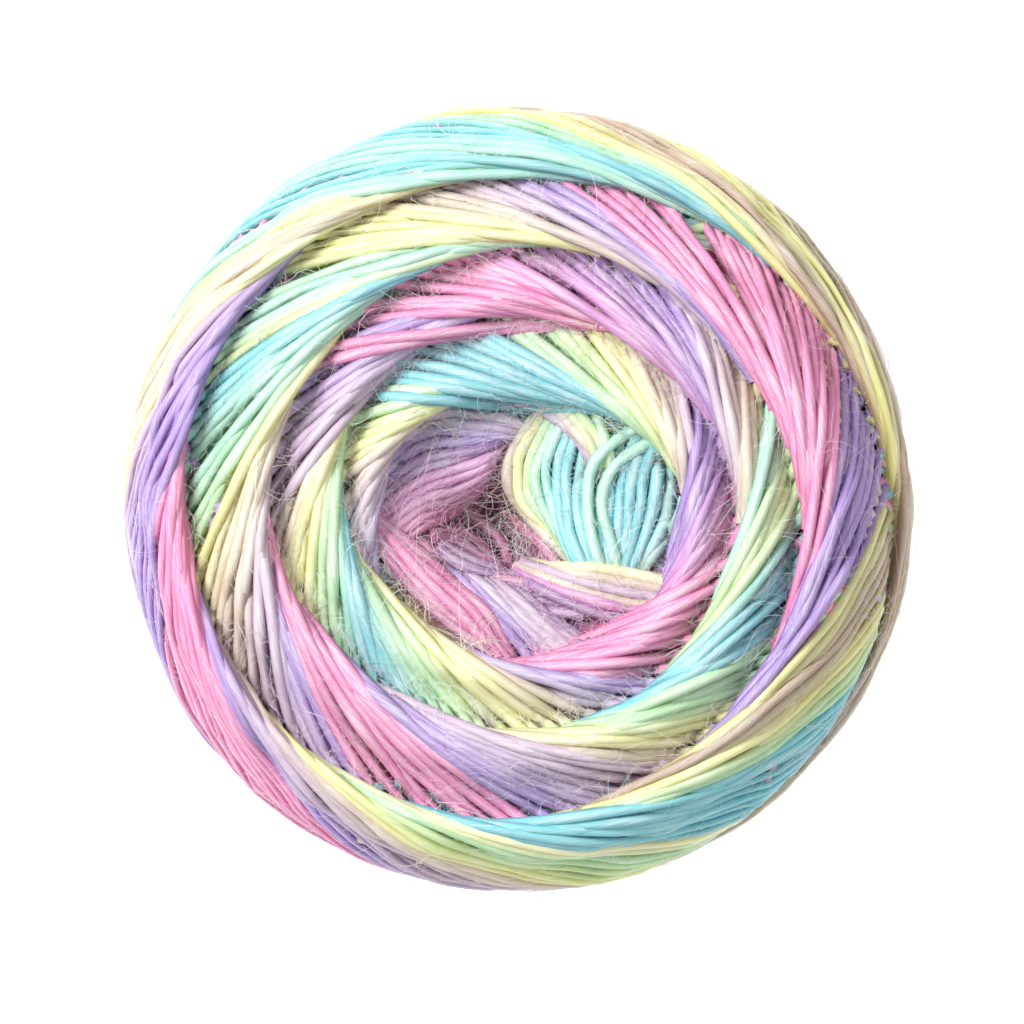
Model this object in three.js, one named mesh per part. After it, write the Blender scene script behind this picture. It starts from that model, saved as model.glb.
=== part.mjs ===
// A centre-pull ball of soft self-striping yarn, lying on one end. It is one wound body.
// Wrap after wrap goes over the top, down the flank, under the bottom and back up, and each
// wrap starts a little further clockwise than the one before. Wraps that lie side by side make
// a flat ribbon, a bundle, and every bundle laps over the ones wound before it.
// Millimetres, +Z up, origin at the middle of the underside. No single turn is modelled here.
import * as THREE from 'three';

// Size of the ball
const BELLY_RADIUS = 54.4;        // half of the widest width, before the relief of the bundles
const HALF_HEIGHT = 37.2;         // from the middle plane to the crest of either end
const ROUNDNESS = 4.6;            // 2 is an ellipse; more is flatter on the ends, squarer at the shoulder
const TOP_DISH = 0.2;             // sink of the middle of the top, as a share of the half height
const BOTTOM_DISH = 0.15;          // the same underneath
const DISH_WIDTH = 20;            // radius at which a dish has faded to about a third
const REST_CUT = 1.5;             // how much of the lower crest is pressed flat
const REST_REACH = 38;            // outside this radius the ribbons underneath aren't pressed
const REST_FADE = 11;             // width over which they come out of the pressed ring

// Pit that the inner end is drawn from: three groups of strands leave it open, off the axis
const PIT_CENTRE = new THREE.Vector2(-4.2, -3.4);
const PIT_HALF_LENGTH = 7.0;      // mouth, along its longer way
const PIT_HALF_WIDTH = 5.6;       // mouth, across
const PIT_TURN = -0.5;            // radians from +X to the longer way
const PIT_DEPTH = 9.5;
const PIT_FLOOR_SHARE = 0.42;     // edge of the floor, as a share of the mouth's half width
const PIT_LIP_SHARE = 1.25;       // where the wall has rounded over into the dish
const EYE_REACH = 26;             // rings are centred on the pit inside, on the axis outside

// Ribbons of yarn
const YARN_THICKNESS = 1.75;
const WRAP_STEP = 3.4;            // degrees from one wrap to the next where a row gives no count
const FULLNESS = 0.24;            // how much more than a straight chord the widest wraps swing
const FULL_FROM = 10;             // reaches between which that grows from nothing
const FULL_TO = 40;
const LEAN_RADIUS = 47;           // where a wrap starts to lean over into the flank
const LEAN_POWER = 1.8;           // how late on the flank it does most of that
const RIBBON_RISE = 1.5 * YARN_THICKNESS; // a bundle is one to two strands deep
const RIBBON_INNER = 0.3;         // fully covered within this distance of a wrap
const RIBBON_OUTER = 4.0;         // not covered at all beyond this distance
const BRIDGING = 14;              // rounds of softening of what a taut ribbon lies on
const FORM_SOFTENING = 60;        // rounds that leave only the ball's own form, with no ribbons
const END_RELIEF = 2.4;           // the pull of the yarn keeps steps on the ends below this
const FLANK_RELIEF = 0.8;         // and those on the flank below this
const LEAST_RELIEF = 0.01;        // what is left where the yarn is pressed or drawn smooth
const SHOULDER_FROM = 0.88;       // shares of the belly radius between which a wrap turns
const SHOULDER_TO = 0.99;         //   from the end of the ball on to its flank

// Mesh of the body
const SECTORS = 120;
const TOP_RINGS = 25;
const FLANK_RINGS = 12;
const BOTTOM_RINGS = 11;
const SHOULDER_RADIUS = 51.2;     // where the rings of the top give way to those of the flank
const HEEL_RADIUS = 50.0;         // the same underneath
const RING_CROWDING = 0.45;       // how much closer the rings lie near the pit
const PATH_STEPS = 40;            // points on each quarter of a wrap
const MERIDIAN_STEPS = 600;

// Bundles in the order of winding, oldest first. from and to are the azimuths, in degrees
// anticlockwise from +X and counted down through the turns, at which the first and the last
// wrap come nearest to the axis; reachFrom and reachTo are those nearest distances in mm.
const BUNDLES = [
  // Groups around the pit
  { from: 1595, to: 1530, reachFrom: 5.6, reachTo: 12.6, wraps: 12 },
  { from: 1524, to: 1474, reachFrom: 12.2, reachTo: 10.6, wraps: 7 },
  { from: 1456, to: 1432, reachFrom: 20.0, reachTo: 1.6, wraps: 12 },
  { from: 1345, to: 1322, reachFrom: 8.0, reachTo: 7.6, wraps: 6 },
  { from: 1318, to: 1301, reachFrom: 8.4, reachTo: 10.5, wraps: 7 },
  { from: 1300, to: 1276, reachFrom: 12.0, reachTo: 17.6, wraps: 8 },
  // Fourth turn in from the rim
  { from: 1266, to: 1208, reachFrom: 19.8, reachTo: 17.0 },
  { from: 1204, to: 1172, reachFrom: 16.6, reachTo: 15.2 },
  { from: 1166, to: 1138, reachFrom: 12.9, reachTo: 17.4 },
  { from: 1132, to: 1116, reachFrom: 17.8, reachTo: 21.0 },
  { from: 1112, to: 1076, reachFrom: 21.4, reachTo: 24.0 },
  // Third turn
  { from: 1068, to: 1022, reachFrom: 22.4, reachTo: 24.6 },
  { from: 1015, to: 982, reachFrom: 20.7, reachTo: 23.2 },
  { from: 978, to: 962, reachFrom: 22.2, reachTo: 23.6 },
  { from: 958, to: 914, reachFrom: 21.0, reachTo: 24.1 },
  { from: 910, to: 868, reachFrom: 23.6, reachTo: 26.8 },
  { from: 856, to: 820, reachFrom: 24.5, reachTo: 26.6 },
  { from: 817, to: 813, reachFrom: 22.9, reachTo: 23.3 },
  { from: 808, to: 780, reachFrom: 24.8, reachTo: 27.2 },
  { from: 776, to: 738, reachFrom: 26.2, reachTo: 30.2 },
  { from: 734, to: 702, reachFrom: 29.6, reachTo: 31.6 },
  // Second turn
  { from: 700, to: 684, reachFrom: 29.8, reachTo: 30.8 },
  { from: 682, to: 650, reachFrom: 30.9, reachTo: 31.6 },
  { from: 648, to: 612, reachFrom: 31.7, reachTo: 31.2 },
  { from: 610, to: 583, reachFrom: 31.2, reachTo: 31.9 },
  { from: 580, to: 555, reachFrom: 32.2, reachTo: 33.9 },
  { from: 552, to: 499, reachFrom: 34.3, reachTo: 33.0 },
  { from: 496, to: 469, reachFrom: 33.1, reachTo: 33.8 },
  { from: 467, to: 449, reachFrom: 33.9, reachTo: 34.8 },
  { from: 447, to: 400, reachFrom: 34.8, reachTo: 35.5 },
  { from: 397, to: 372, reachFrom: 35.8, reachTo: 38.4 },
  { from: 370, to: 341, reachFrom: 38.5, reachTo: 40.1 },
  // Outer turn
  { from: 338, to: 311, reachFrom: 40.4, reachTo: 41.2 },
  { from: 309, to: 280, reachFrom: 41.4, reachTo: 43.5 },
  { from: 278, to: 250, reachFrom: 43.6, reachTo: 43.8 },
  { from: 248, to: 224, reachFrom: 43.8, reachTo: 44.8 },
  { from: 222, to: 196, reachFrom: 44.9, reachTo: 45.0 },
  { from: 194, to: 158, reachFrom: 45.2, reachTo: 45.7 },
  { from: 156, to: 122, reachFrom: 45.5, reachTo: 45.0 },
  { from: 120, to: 95, reachFrom: 45.0, reachTo: 43.8 },
  { from: 92, to: 51, reachFrom: 43.6, reachTo: 47.2 },
  { from: 49, to: -4, reachFrom: 47.4, reachTo: 53.8 },
];

const smoothStep = (low, high, value) => THREE.MathUtils.smoothstep(value, low, high);

// Meridian of the ball from the top of the axis (turn 0) over the belly to the bottom (turn PI),
// with heights as shares of the half height
function meridianPoint(turn) {
  const power = 2 / ROUNDNESS;
  const radius = BELLY_RADIUS * Math.pow(Math.max(Math.sin(turn), 0), power);
  const rise = Math.sign(Math.cos(turn)) * Math.pow(Math.abs(Math.cos(turn)), power);
  const dish = Math.exp(-Math.pow(radius / DISH_WIDTH, 2));
  return new THREE.Vector2(radius, rise - (rise > 0 ? TOP_DISH : -BOTTOM_DISH) * dish);
}

function scaledMeridian() {
  const points = [];
  for (let i = 0; i <= MERIDIAN_STEPS; i++) {
    points.push(meridianPoint((Math.PI * i) / MERIDIAN_STEPS));
  }
  const crest = Math.max(...points.map((point) => point.y));
  const keel = Math.min(...points.map((point) => point.y));
  points.forEach((point) => {
    point.y *= HALF_HEIGHT / (point.y > 0 ? crest : -keel);
  });
  return points;
}

const meridian = scaledMeridian();
const upperHalf = meridian.slice(0, MERIDIAN_STEPS / 2 + 1);
const lowerHalf = meridian.slice(MERIDIAN_STEPS / 2).reverse();
const halfOn = (side) => (side > 0 ? upperHalf : lowerHalf);

// Height of the body above its middle plane at a distance from the axis, on one side of the belly
function heightAt(radius, side) {
  const half = halfOn(side);
  for (let i = 1; i < half.length; i++) {
    if (half[i].x >= radius) {
      const share = (radius - half[i - 1].x) / (half[i].x - half[i - 1].x);
      return THREE.MathUtils.lerp(half[i - 1].y, half[i].y, share);
    }
  }
  return half[half.length - 1].y;
}

// How far round the ball a wrap has swung, from its nearest point to each later point on the
// way to the belly. Over the end it runs nearly straight, a little fuller the wider it is laid,
// and past the shoulder it leans over until its quarter turn is complete.
function quarterSweep(reach, side) {
  const half = halfOn(side);
  const start = half.findIndex((point) => point.x > reach);
  const along = [0];
  for (let i = start + 1; i < half.length; i++) {
    along.push(along[along.length - 1] + half[i].distanceTo(half[i - 1]));
  }
  const length = along[along.length - 1];
  const straightness = 1 - FULLNESS * smoothStep(FULL_FROM, FULL_TO, reach);
  const points = [];
  let index = 0;
  for (let k = 0; k <= PATH_STEPS; k++) {
    const distance = length * Math.pow(k / PATH_STEPS, 2);
    while (index < along.length - 2 && along[index + 1] < distance) index++;
    const share = (distance - along[index]) / (along[index + 1] - along[index]);
    const here = half[start + index].clone().lerp(half[start + index + 1], Math.min(share, 1));
    const radius = Math.max(here.x, reach);
    points.push({ radius, height: here.y, distance, swing: Math.acos(reach / radius) / straightness });
  }
  const missing = Math.PI / 2 - points[PATH_STEPS].swing;
  const leanFrom = points.find((point) => point.radius >= LEAN_RADIUS).distance;
  points.forEach((point) => {
    const lean = Math.max(point.distance - leanFrom, 0) / (length - leanFrom);
    point.swing += missing * Math.pow(lean, LEAN_POWER);
  });
  return points;
}

// One wrap as points on the body: both halves over the top and both under the bottom
function wrapPoints(azimuth, reach) {
  const points = [];
  for (const side of [1, -1]) {
    const nearest = side > 0 ? azimuth : azimuth + Math.PI;
    for (const { radius, height, swing } of quarterSweep(reach, side)) {
      for (const hand of [1, -1]) {
        const angle = nearest + hand * swing;
        points.push(new THREE.Vector3(radius * Math.cos(angle), radius * Math.sin(angle), height));
      }
    }
  }
  return points;
}

function bundlePoints(row) {
  const wraps = row.wraps ?? Math.round((row.from - row.to) / WRAP_STEP) + 1;
  const points = [];
  for (let i = 0; i < wraps; i++) {
    const share = wraps > 1 ? i / (wraps - 1) : 0;
    const azimuth = THREE.MathUtils.degToRad(THREE.MathUtils.lerp(row.from, row.to, share));
    points.push(...wrapPoints(azimuth, THREE.MathUtils.lerp(row.reachFrom, row.reachTo, share)));
  }
  return points;
}

// Depth of the pit below the dish at a place on the top
function pitDepthAt(x, y) {
  const offset = new THREE.Vector2(x, y).sub(PIT_CENTRE).rotateAround(new THREE.Vector2(), -PIT_TURN);
  const share = Math.hypot(offset.x / PIT_HALF_LENGTH, offset.y / PIT_HALF_WIDTH);
  return PIT_DEPTH * (1 - smoothStep(PIT_FLOOR_SHARE, PIT_LIP_SHARE, share));
}

// Rings of the mesh, from the pit outwards, down the flank and in under the ball: side is 1 on
// the top, 0 on the flank and -1 underneath; a ring has a radius or, on the flank, a height
function ringTable() {
  const rings = [];
  for (let i = 1; i <= TOP_RINGS; i++) {
    const share = i / TOP_RINGS;
    const spread = THREE.MathUtils.lerp(share, Math.pow(share, 1.5), RING_CROWDING);
    rings.push({ side: 1, radius: SHOULDER_RADIUS * spread });
  }
  const shoulder = heightAt(SHOULDER_RADIUS, 1);
  const heel = heightAt(HEEL_RADIUS, -1);
  for (let i = 1; i < FLANK_RINGS; i++) {
    rings.push({ side: 0, height: THREE.MathUtils.lerp(shoulder, heel, i / FLANK_RINGS) });
  }
  for (let i = BOTTOM_RINGS; i >= 1; i--) {
    rings.push({ side: -1, radius: (HEEL_RADIUS * i) / BOTTOM_RINGS });
  }
  return rings;
}

// Radius of the flank at a height above the middle plane
function flankRadius(height) {
  for (let i = 1; i < meridian.length; i++) {
    if (meridian[i].y <= height && meridian[i].x > BELLY_RADIUS / 2) {
      const share = (meridian[i - 1].y - height) / (meridian[i - 1].y - meridian[i].y);
      return THREE.MathUtils.lerp(meridian[i - 1].x, meridian[i].x, share);
    }
  }
  return BELLY_RADIUS;
}

function bodyVertex(ring, angle) {
  const radius = ring.side === 0 ? flankRadius(ring.height) : ring.radius;
  const shift = ring.side > 0 ? 1 - smoothStep(0, EYE_REACH, radius) : 0;
  const x = radius * Math.cos(angle) + PIT_CENTRE.x * shift;
  const y = radius * Math.sin(angle) + PIT_CENTRE.y * shift;
  if (ring.side === 0) return new THREE.Vector3(x, y, ring.height);
  const z = heightAt(Math.hypot(x, y), ring.side);
  return new THREE.Vector3(x, y, ring.side > 0 ? z - pitDepthAt(x, y) : z);
}

const rings = ringTable();
const grid = rings.map((ring) => {
  const row = [];
  for (let j = 0; j < SECTORS; j++) {
    row.push(bodyVertex(ring, (2 * Math.PI * j) / SECTORS));
  }
  return row;
});

const at = (field, i, j) => field[THREE.MathUtils.clamp(i, 0, rings.length - 1)][(j + SECTORS) % SECTORS];

// Outward direction of the body at a vertex of the grid
function outward(i, j) {
  const around = at(grid, i, j + 1).clone().sub(at(grid, i, j - 1));
  const down = at(grid, i + 1, j).clone().sub(at(grid, i - 1, j));
  return down.cross(around).normalize();
}

// Lays the bundles one after another: a ribbon bridges what it covers and adds its own rise
function layBundles() {
  let relief = grid.map((row) => row.map(() => 0));
  for (const row of BUNDLES) {
    const yarn = bundlePoints(row);
    const soft = softened(relief, BRIDGING);
    relief = relief.map((ring, i) => ring.map((value, j) => {
      const cover = 1 - smoothStep(RIBBON_INNER, RIBBON_OUTER, nearestDistance(grid[i][j], yarn));
      return THREE.MathUtils.lerp(value, soft[i][j] + RIBBON_RISE, cover);
    }));
  }
  return relief;
}

function nearestDistance(vertex, points) {
  let best = RIBBON_OUTER * RIBBON_OUTER;
  for (const point of points) {
    const dx = point.x - vertex.x;
    const dy = point.y - vertex.y;
    const dz = point.z - vertex.z;
    best = Math.min(best, dx * dx + dy * dy + dz * dz);
  }
  return Math.sqrt(best);
}

function softened(field, times) {
  let result = field;
  for (let n = 0; n < times; n++) {
    const source = result;
    result = source.map((ring, i) => ring.map((value, j) => {
      const near = at(source, i - 1, j) + at(source, i + 1, j) + at(source, i, j - 1) + at(source, i, j + 1);
      return (value * 2 + near) / 6;
    }));
  }
  return result;
}

// The body with its bundles: only what stands above or below its neighbourhood is kept, so that
// the ball keeps its form, and it fades out over the pit's floor and the flat rest underneath
function woundVertices() {
  const relief = layBundles();
  const form = softened(relief, FORM_SOFTENING);
  return grid.map((row, i) => row.map((vertex, j) => {
    const limit = reliefLimit(vertex, rings[i].side);
    const lift = limit * Math.tanh((relief[i][j] - form[i][j]) / limit);
    return vertex.clone().addScaledVector(outward(i, j), lift);
  }));
}

// Largest lift or sink of a ribbon at a place
function reliefLimit(vertex, side) {
  const radius = Math.hypot(vertex.x, vertex.y);
  const shoulder = smoothStep(SHOULDER_FROM * BELLY_RADIUS, SHOULDER_TO * BELLY_RADIUS, radius);
  const rest = side < 0 ? smoothStep(REST_REACH - REST_FADE, REST_REACH, radius) : 1;
  const pit = side > 0 ? 1 - smoothStep(0, PIT_DEPTH / 2, pitDepthAt(vertex.x, vertex.y)) : 1;
  const limit = THREE.MathUtils.lerp(END_RELIEF, FLANK_RELIEF, shoulder);
  return Math.max(limit * rest * pit, LEAST_RELIEF);
}

// Puts the middle of the underside at the origin, with the lower crest pressed flat at z = 0
function placed(vertices) {
  const middle = new THREE.Box3().setFromPoints(vertices).getCenter(new THREE.Vector3());
  const floor = REST_CUT - HALF_HEIGHT;
  return vertices.map(({ x, y, z }) => new THREE.Vector3(x - middle.x, y - middle.y, Math.max(z - floor, 0)));
}

// Triangles between the rings, with a fan on the pit's floor and one in the lower dish
function woundBody() {
  const pitBase = heightAt(PIT_CENTRE.length(), 1) - PIT_DEPTH;
  const pitFloor = new THREE.Vector3(PIT_CENTRE.x, PIT_CENTRE.y, pitBase);
  const underside = new THREE.Vector3(0, 0, heightAt(0, -1));
  const points = placed([pitFloor, ...woundVertices().flat(), underside]);
  const index = [];
  const id = (i, j) => 1 + i * SECTORS + (j % SECTORS);
  const lastRing = rings.length - 1;
  for (let j = 0; j < SECTORS; j++) {
    index.push(0, id(0, j), id(0, j + 1));
    index.push(points.length - 1, id(lastRing, j + 1), id(lastRing, j));
    for (let i = 0; i < lastRing; i++) {
      index.push(id(i, j), id(i + 1, j), id(i + 1, j + 1));
      index.push(id(i, j), id(i + 1, j + 1), id(i, j + 1));
    }
  }
  const geometry = new THREE.BufferGeometry().setFromPoints(points);
  geometry.setIndex(index);
  geometry.computeVertexNormals();
  return geometry;
}

const yarn = new THREE.MeshStandardMaterial({ color: 0xd9c3d6, roughness: 0.85, metalness: 0 });
const ball = new THREE.Group();
const wound = new THREE.Mesh(woundBody(), yarn);
wound.name = 'wound_yarn';
ball.add(wound);

export default ball;
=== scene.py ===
# %% [markdown]
# # A centre-pull ball of self-striping alpaca yarn
# The real thing is one length of soft, brushed yarn, wound by a machine. Each wrap goes over
# the top, down the flank, under the bottom and back up, and starts a few degrees further round
# than the one before, so that flat bundles of strands fan out and lap over each other.
# Painting strands on a smooth ball would look printed. Here the ball is wound again, wrap by
# wrap, and only the stretches that end up in sight are made as tubes.

# %% Open the frame
import math

import bpy
import numpy as np
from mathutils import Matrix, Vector


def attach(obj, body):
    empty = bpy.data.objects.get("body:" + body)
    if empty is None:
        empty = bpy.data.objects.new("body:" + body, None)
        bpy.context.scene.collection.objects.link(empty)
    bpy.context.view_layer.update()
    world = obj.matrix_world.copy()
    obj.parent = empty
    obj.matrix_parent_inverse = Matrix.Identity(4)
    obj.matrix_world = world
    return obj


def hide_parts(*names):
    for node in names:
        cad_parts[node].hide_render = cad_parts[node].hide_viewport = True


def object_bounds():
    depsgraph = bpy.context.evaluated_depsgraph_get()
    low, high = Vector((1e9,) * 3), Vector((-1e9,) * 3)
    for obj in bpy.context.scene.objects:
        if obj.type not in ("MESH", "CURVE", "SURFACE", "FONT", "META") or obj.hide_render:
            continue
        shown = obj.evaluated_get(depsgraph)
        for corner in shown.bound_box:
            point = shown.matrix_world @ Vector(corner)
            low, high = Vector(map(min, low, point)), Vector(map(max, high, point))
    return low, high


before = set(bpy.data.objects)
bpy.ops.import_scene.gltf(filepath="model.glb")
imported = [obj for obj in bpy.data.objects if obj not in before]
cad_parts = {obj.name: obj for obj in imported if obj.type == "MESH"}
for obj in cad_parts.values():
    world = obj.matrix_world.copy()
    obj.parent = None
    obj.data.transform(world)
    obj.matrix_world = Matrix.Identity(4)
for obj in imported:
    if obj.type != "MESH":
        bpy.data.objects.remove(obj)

cad_low, cad_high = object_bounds()
print("CAD box", [round(v, 4) for v in cad_low], [round(v, 4) for v in cad_high])

# %% [markdown]
# ## Camera
# The photograph looks straight down on the end of the ball, from far enough away that nothing
# shows of its flank. A long lens at that distance keeps the outline round. The camera comes
# first, because everything after it is judged through it.

# %% Place the camera
MM = 0.001
IMAGE_SIDE = 1024                  # pixels of the photograph, which is square
OUTLINE_DIAMETER_PX = 786          # the ball's outline in it
OUTLINE_CENTRE_PX = (517, 500)
OUTLINE_DIAMETER = cad_high.x - cad_low.x
OUTLINE_HEIGHT = 0.045             # the outline is seen a little above the belly
SENSOR = 0.036
LENS = 0.150

view_width = OUTLINE_DIAMETER * IMAGE_SIDE / OUTLINE_DIAMETER_PX
camera_distance = view_width * LENS / SENSOR
middle_px = IMAGE_SIDE / 2
camera_x = (middle_px - OUTLINE_CENTRE_PX[0]) / IMAGE_SIDE * view_width
camera_y = (OUTLINE_CENTRE_PX[1] - middle_px) / IMAGE_SIDE * view_width

camera_data = bpy.data.cameras.new("camera")
camera_data.sensor_width = SENSOR / MM
camera_data.lens = LENS / MM
camera = bpy.data.objects.new("camera", camera_data)
camera.location = (camera_x, camera_y, OUTLINE_HEIGHT + camera_distance)
bpy.context.scene.collection.objects.link(camera)
bpy.context.scene.camera = camera
print("view width", round(view_width, 4), "m from", round(camera_distance, 3), "m")

# %% [markdown]
# ## Form of the ball
# Without its strands the ball is a body of revolution: flat, dished ends, a tight shoulder and
# a straight flank. Its meridian is a squared ellipse, the same one as in the CAD part. All
# winding is worked out in millimetres on this form, as a distance along the meridian and an
# azimuth, and becomes metres only in the finished meshes.

# %% Meridian of the ball
BELLY_RADIUS = 54.4
HALF_HEIGHT = 37.2
ROUNDNESS = 4.6                    # power of the squared ellipse; 2 would be a plain one
TOP_DISH = 0.2                     # hollow of the upper end, as a share of the half height
BOTTOM_DISH = 0.15
DISH_WIDTH = 20.0
REST_CUT = 1.5                     # the weight of the ball flattens it this far where it rests
MERIDIAN_STEPS = 3000


def smooth_step(low, high, value):
    share = np.clip((value - low) / (high - low), 0, 1)
    return share * share * (3 - 2 * share)


def squared_ellipse():
    turn = np.linspace(0, np.pi, MERIDIAN_STEPS + 1)
    power = 2 / ROUNDNESS
    radius = BELLY_RADIUS * np.maximum(np.sin(turn), 0) ** power
    rise = np.sign(np.cos(turn)) * np.abs(np.cos(turn)) ** power
    dish = np.exp(-((radius / DISH_WIDTH) ** 2))
    height = rise - np.where(rise > 0, TOP_DISH, -BOTTOM_DISH) * dish
    scale = np.where(height > 0, height.max(), -height.min())
    return radius, height * HALF_HEIGHT / scale


form_radius, form_height = squared_ellipse()
form_way = np.concatenate([[0], np.cumsum(np.hypot(np.diff(form_radius), np.diff(form_height)))])
form_slope_r = np.gradient(form_radius, form_way)
form_slope_z = np.gradient(form_height, form_way)
belly_index = MERIDIAN_STEPS // 2
BELLY_WAY = form_way[belly_index]
WHOLE_WAY = form_way[-1]

# A strand is pulled into the ball, so layers pile up straight upwards on the ends of the ball and
# only turn outwards over the shoulder.
PILE_TURN_FROM = 44.0
PILE_TURN_TO = 53.0
outwards = smooth_step(PILE_TURN_FROM, PILE_TURN_TO, form_radius)
pile_r = -form_slope_z * outwards
pile_z = form_slope_r * outwards + np.sign(form_height) * (1 - outwards)
pile_length = np.hypot(pile_r, pile_z)
pile_r, pile_z = pile_r / pile_length, pile_z / pile_length
print("meridian", round(WHOLE_WAY, 1), "mm, belly at", round(BELLY_WAY, 1))


def way_at(reach, side):
    """Distance along the meridian to a radius, on the top (1) or underneath (-1)."""
    if side > 0:
        return np.interp(reach, form_radius[: belly_index + 1], form_way[: belly_index + 1])
    return np.interp(reach, form_radius[belly_index:][::-1], form_way[belly_index:][::-1])


def on_form(way, azimuth, lift):
    """Points in the frame, in metres, from meridian distance, azimuth and height over the form."""
    radius = np.interp(way, form_way, form_radius) + lift * np.interp(way, form_way, pile_r)
    height = np.interp(way, form_way, form_height) + lift * np.interp(way, form_way, pile_z)
    x = radius * np.cos(azimuth)
    y = radius * np.sin(azimuth)
    return np.stack([x, y, height + HALF_HEIGHT - REST_CUT], axis=-1) * MM


# %% [markdown]
# ## Pit
# The inner end of a centre-pull ball is drawn out of a pit in its end. The first bundles cross
# beside it and leave a mouth of about a finger's width, a little off the axis.

# %% Depth of the pit
PIT_CENTRE = (-4.2, -3.4)
PIT_HALF_LENGTH = 7.0
PIT_HALF_WIDTH = 5.6
PIT_TURN = -0.5                    # radians by which its long way is turned from x
PIT_DEPTH = 9.5
PIT_FLOOR_SHARE = 0.42             # share of the half length at which the floor ends
PIT_LIP_SHARE = 1.25               # and at which the lip reaches the end of the ball


def pit_depth(x, y):
    across = x - PIT_CENTRE[0]
    up = y - PIT_CENTRE[1]
    long_way = across * math.cos(PIT_TURN) + up * math.sin(PIT_TURN)
    short_way = up * math.cos(PIT_TURN) - across * math.sin(PIT_TURN)
    share = np.hypot(long_way / PIT_HALF_LENGTH, short_way / PIT_HALF_WIDTH)
    return PIT_DEPTH * (1 - smooth_step(PIT_FLOOR_SHARE, PIT_LIP_SHARE, share))


# %% [markdown]
# ## Dye lengths and bundles
# Self-striping yarn is dyed in lengths that run into each other, so neighbouring wraps share a
# colour and a bundle changes from its first wrap to its last. The table gives each bundle in
# the order of winding: the azimuths at which its first and last wrap come nearest to the axis,
# counted down through the turns, how near they come in millimetres, and the dyes that it runs
# through. Its wraps lie at the usual step between those two.

# %% Dyes and the order of winding
DYES = {
    "pink": "#EB98C3",
    "rose": "#D596C8",
    # magenta and plum go only to the strands round the pit; they are partly the yarn's own colour and
    # partly painted shade of the pit
    "magenta": "#C4759F",
    "plum": "#A57BAA",
    "purple": "#B297D2",
    "lilac": "#CFBACD",
    "white": "#E6DBE2",
    "beige": "#D9CAB7",
    "brown": "#C4AF9B",
    "yellow": "#EDECA9",
    "lemon": "#F7F6C4",
    "lime": "#D6EBAA",
    "green": "#BFE6B8",
    "mint": "#B6E6D2",
    "aqua": "#8AD0D8",
}
SEED = 7
rng = np.random.default_rng(SEED)
WRAP_STEP = 3.4                    # degrees from one wrap to the next
PATH_STEP = 0.3                    # mm between the points of a path while it is being wound
BUNDLES = [
    # from, to, reach from, reach to, dyes
    (1266, 1208, 19.8, 17.0, "purple lilac beige"),
    (1204, 1172, 16.6, 15.2, "yellow green"),
    (1166, 1138, 12.9, 17.4, "aqua"),
    (1132, 1116, 17.8, 21.0, "green lime"),
    (1112, 1076, 21.4, 24.0, "yellow beige lilac"),
    (1068, 1022, 22.4, 24.6, "purple pink"),
    (1015, 982, 20.7, 23.2, "pink"),
    (978, 962, 22.2, 23.6, "purple white"),
    (958, 914, 21.0, 24.1, "beige yellow green aqua"),
    (910, 868, 23.6, 26.8, "aqua green yellow beige"),
    (856, 820, 24.5, 26.6, "lilac purple"),
    (817, 813, 22.9, 23.3, "pink"),
    (808, 780, 24.8, 27.2, "pink"),
    (776, 738, 26.2, 30.2, "rose purple"),
    (734, 702, 29.6, 31.6, "lilac beige yellow"),
    (700, 684, 29.8, 30.8, "mint lime"),
    (682, 650, 30.9, 31.6, "lime aqua aqua"),
    (648, 612, 31.7, 31.2, "green green yellow beige"),
    (610, 583, 31.2, 31.9, "lilac purple"),
    (580, 555, 32.2, 33.9, "pink"),
    (552, 499, 34.3, 33.0, "purple lilac beige yellow"),
    (496, 469, 33.1, 33.8, "green mint aqua"),
    (467, 449, 33.9, 34.8, "lime mint green"),
    (447, 400, 34.8, 35.5, "yellow yellow beige lilac purple"),
    (397, 372, 35.8, 38.4, "pink"),
    (370, 341, 38.5, 40.1, "pink"),
    (338, 311, 40.4, 41.2, "purple"),
    (309, 280, 41.4, 43.5, "yellow brown yellow green"),
    (278, 250, 43.6, 43.8, "aqua"),
    (248, 224, 43.8, 44.8, "lemon green lime yellow"),
    (222, 196, 44.9, 45.0, "beige lilac purple"),
    (194, 158, 45.2, 45.7, "pink"),
    (156, 122, 45.5, 45.0, "purple purple lilac"),
    (120, 95, 45.0, 43.8, "lemon beige yellow"),
    (92, 51, 43.6, 47.2, "mint aqua mint aqua green"),
    (49, -4, 47.4, 53.8, "yellow brown yellow brown beige"),
]


def linear_colour(code):
    """sRGB hex code to the linear values that Blender works with."""
    parts = np.array([int(code[i : i + 2], 16) / 255 for i in (1, 3, 5)])
    return np.where(parts <= 0.04045, parts / 12.92, ((parts + 0.055) / 1.055) ** 2.4)


def dye_at(words, share):
    colours = [linear_colour(DYES[word]) for word in words.split()]
    place = share * (len(colours) - 1)
    index = min(int(place), len(colours) - 2)
    if index < 0:
        return colours[0]
    mix = smooth_step(0, 1, place - index)
    return colours[index] * (1 - mix) + colours[index + 1] * mix
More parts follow.
